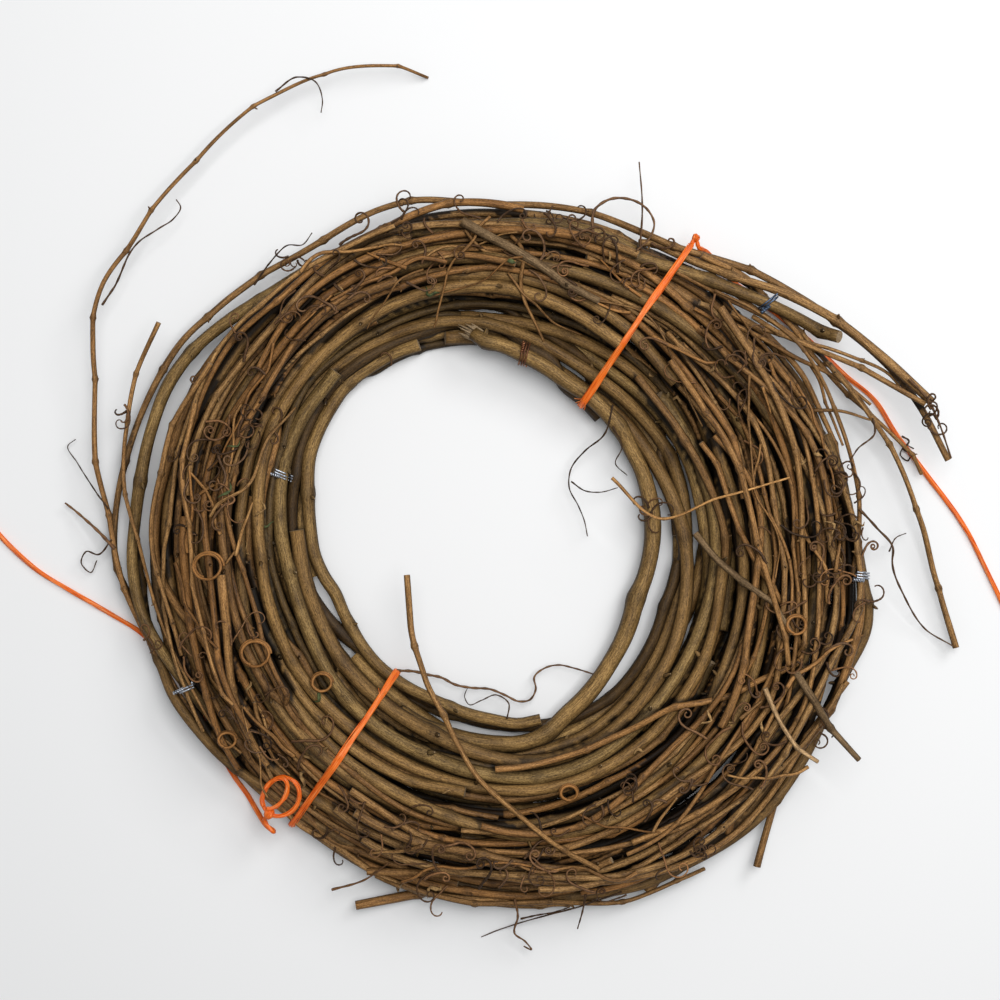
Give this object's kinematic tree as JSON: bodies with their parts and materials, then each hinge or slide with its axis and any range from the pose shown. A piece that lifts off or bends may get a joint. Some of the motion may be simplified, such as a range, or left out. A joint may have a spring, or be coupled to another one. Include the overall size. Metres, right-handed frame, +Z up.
{
  "type": "wreath frame",
  "caption": "Coil of dry grapevine canes laid in a flat ring, bound by wire and two orange twine ties, used as a wreath base.",
  "frame": {"origin": "under the middle of the ring and its loose canes, on the surface it lies on, the twine tails left out", "axes": "+Z up through the ring's opening; +X and +Y across the ring, with the slip knot towards -X -Y"},
  "size_m": [0.6783, 0.5566, 0.0519],
  "materials": {
    "olive_cane": "smooth dry bark, olive-tan",
    "brown_cane": "dry ridged bark, orange-brown",
    "grey_wood": "weathered bare wood",
    "orange_twine": "split-film polypropylene twine",
    "steel_wire": "dull galvanised wire",
    "copper_wire": "dark coppered wire"
  },
  "bodies": {
    "root": {"blue_wire": "steel_wire", "bottom_outline_cane": "olive_cane", "centre_stick": "brown_cane", "copper_wire": "copper_wire", "cut_stick": "grey_wood", "grey_stick_right": "grey_wood", "grey_stick_top": "grey_wood", "hole_edge_cane": "olive_cane", "inner_cane_01": "olive_cane", "inner_cane_02": "olive_cane", "inner_cane_03": "olive_cane", "inner_cane_04": "olive_cane", "inner_cane_05": "olive_cane", "inner_cane_06": "olive_cane", "inner_cane_07": "olive_cane", "inner_cane_08": "olive_cane", "inner_cane_09": "olive_cane", "inner_cane_10": "olive_cane", "kinked_stick": "brown_cane", "knob_twig": "brown_cane", "left_edge_cane": "olive_cane", "left_inner_cane": "brown_cane", "left_tail": "orange_twine", "left_thick_cane": "olive_cane", "left_twig": "brown_cane", "long_whip": "brown_cane", "lower_tie": "orange_twine", "middle_cane_01": "olive_cane", "middle_cane_02": "olive_cane", "middle_cane_03": "olive_cane", "middle_cane_04": "olive_cane", "middle_cane_05": "olive_cane", "middle_cane_06": "olive_cane", "middle_cane_07": "olive_cane", "middle_cane_08": "olive_cane", "middle_cane_09": "olive_cane", "outer_arc_cane": "brown_cane", "outer_cane_01": "brown_cane", "outer_cane_02": "brown_cane", "outer_cane_03": "brown_cane", "outer_cane_04": "brown_cane", "outer_cane_05": "brown_cane", "outer_cane_06": "brown_cane", "outer_cane_07": "brown_cane", "outer_cane_08": "brown_cane", "pale_stick": "grey_wood", "right_inner_twig": "brown_cane", "right_outline_cane": "brown_cane", "right_prong": "brown_cane", "right_tail": "orange_twine", "right_tied_cane": "brown_cane", "right_whip": "brown_cane", "sawn_cane": "olive_cane", "slip_knot": "orange_twine", "split_cane": "olive_cane", "steel_wire_inner": "steel_wire", "steel_wire_left": "steel_wire", "steel_wire_right": "steel_wire", "upper_knot": "orange_twine", "upper_tie": "orange_twine"}
  },
  "joints": []
}
